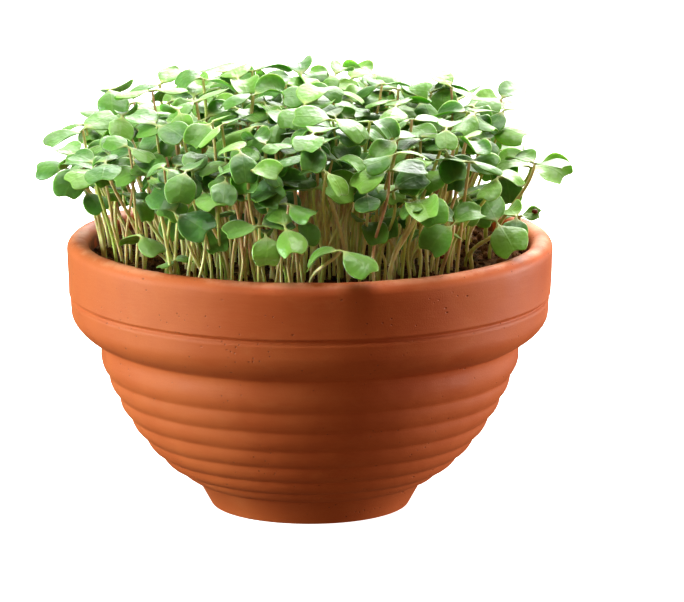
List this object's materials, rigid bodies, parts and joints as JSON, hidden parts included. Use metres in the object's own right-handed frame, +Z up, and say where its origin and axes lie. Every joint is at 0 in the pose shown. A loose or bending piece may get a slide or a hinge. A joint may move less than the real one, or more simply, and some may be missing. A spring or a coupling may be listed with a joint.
{
  "type": "kale microgreens in a bowl",
  "caption": "Dense kale seedlings with notched seed leaves, growing in soil in a ribbed terracotta bowl with a heavy collar and a foot.",
  "frame": {"origin": "middle of the foot's underside, on the surface that the bowl stands on", "axes": "+Z up along the bowl's axis, -Y towards the front, +X to the right seen from the front"},
  "size_m": [0.2169, 0.2071, 0.1814],
  "materials": {
    "terracotta": "unglazed fired clay, matt, with fine grains and a paler bloom",
    "potting_soil": "dark crumbly potting soil with fibres",
    "sprout": "living leaf: smooth, waxy and softly shiny, with pale stems flushed purple",
    "seed_husk": "dry seed coat, red-brown"
  },
  "bodies": {
    "root": {"terracotta_bowl": "terracotta", "potting_soil": "potting_soil", "sprout_01": "sprout", "sprout_02": "sprout", "sprout_03": "sprout", "sprout_04": "sprout", "sprout_05": "sprout", "sprout_06": "sprout", "sprout_07": "sprout", "sprout_08": "sprout", "sprout_09": "sprout", "sprout_10": "sprout", "sprout_11": "sprout", "sprout_12": "sprout", "sprout_13": "sprout", "sprout_14": "sprout", "sprout_15": "sprout", "sprout_16": "sprout", "sprout_17": "sprout", "sprout_18": "sprout", "sprout_19": "sprout", "sprout_20": "sprout", "sprout_21": "sprout", "sprout_22": "sprout", "sprout_23": "sprout", "sprout_24": "sprout", "sprout_25": "sprout", "sprout_26": "sprout", "sprout_27": "sprout", "sprout_28": "sprout", "sprout_29": "sprout", "sprout_30": "sprout", "sprout_31": "sprout", "sprout_32": "sprout", "sprout_33": "sprout", "sprout_34": "sprout", "sprout_35": "sprout", "sprout_36": "sprout", "sprout_37": "sprout", "sprout_38": "sprout", "sprout_39": "sprout", "sprout_40": "sprout", "sprout_41": "sprout", "sprout_42": "sprout", "sprout_43": "sprout", "sprout_over_left_rim": "sprout", "sprout_over_right_rim": "sprout", "sprout_arching_right": "sprout", "sprout_small_right": "sprout", "sprout_over_front_rim": "sprout", "sprout_over_back_rim": "sprout", "sprout_low_front": "sprout", "sprout_front_left": "sprout", "sprout_front_butterfly": "sprout", "sprout_front_middle": "sprout", "sprout_front_right": "sprout", "sprout_front_far_right": "sprout", "seed_husk_1": "seed_husk", "seed_husk_2": "seed_husk", "seed_husk_3": "seed_husk"}
  },
  "joints": []
}
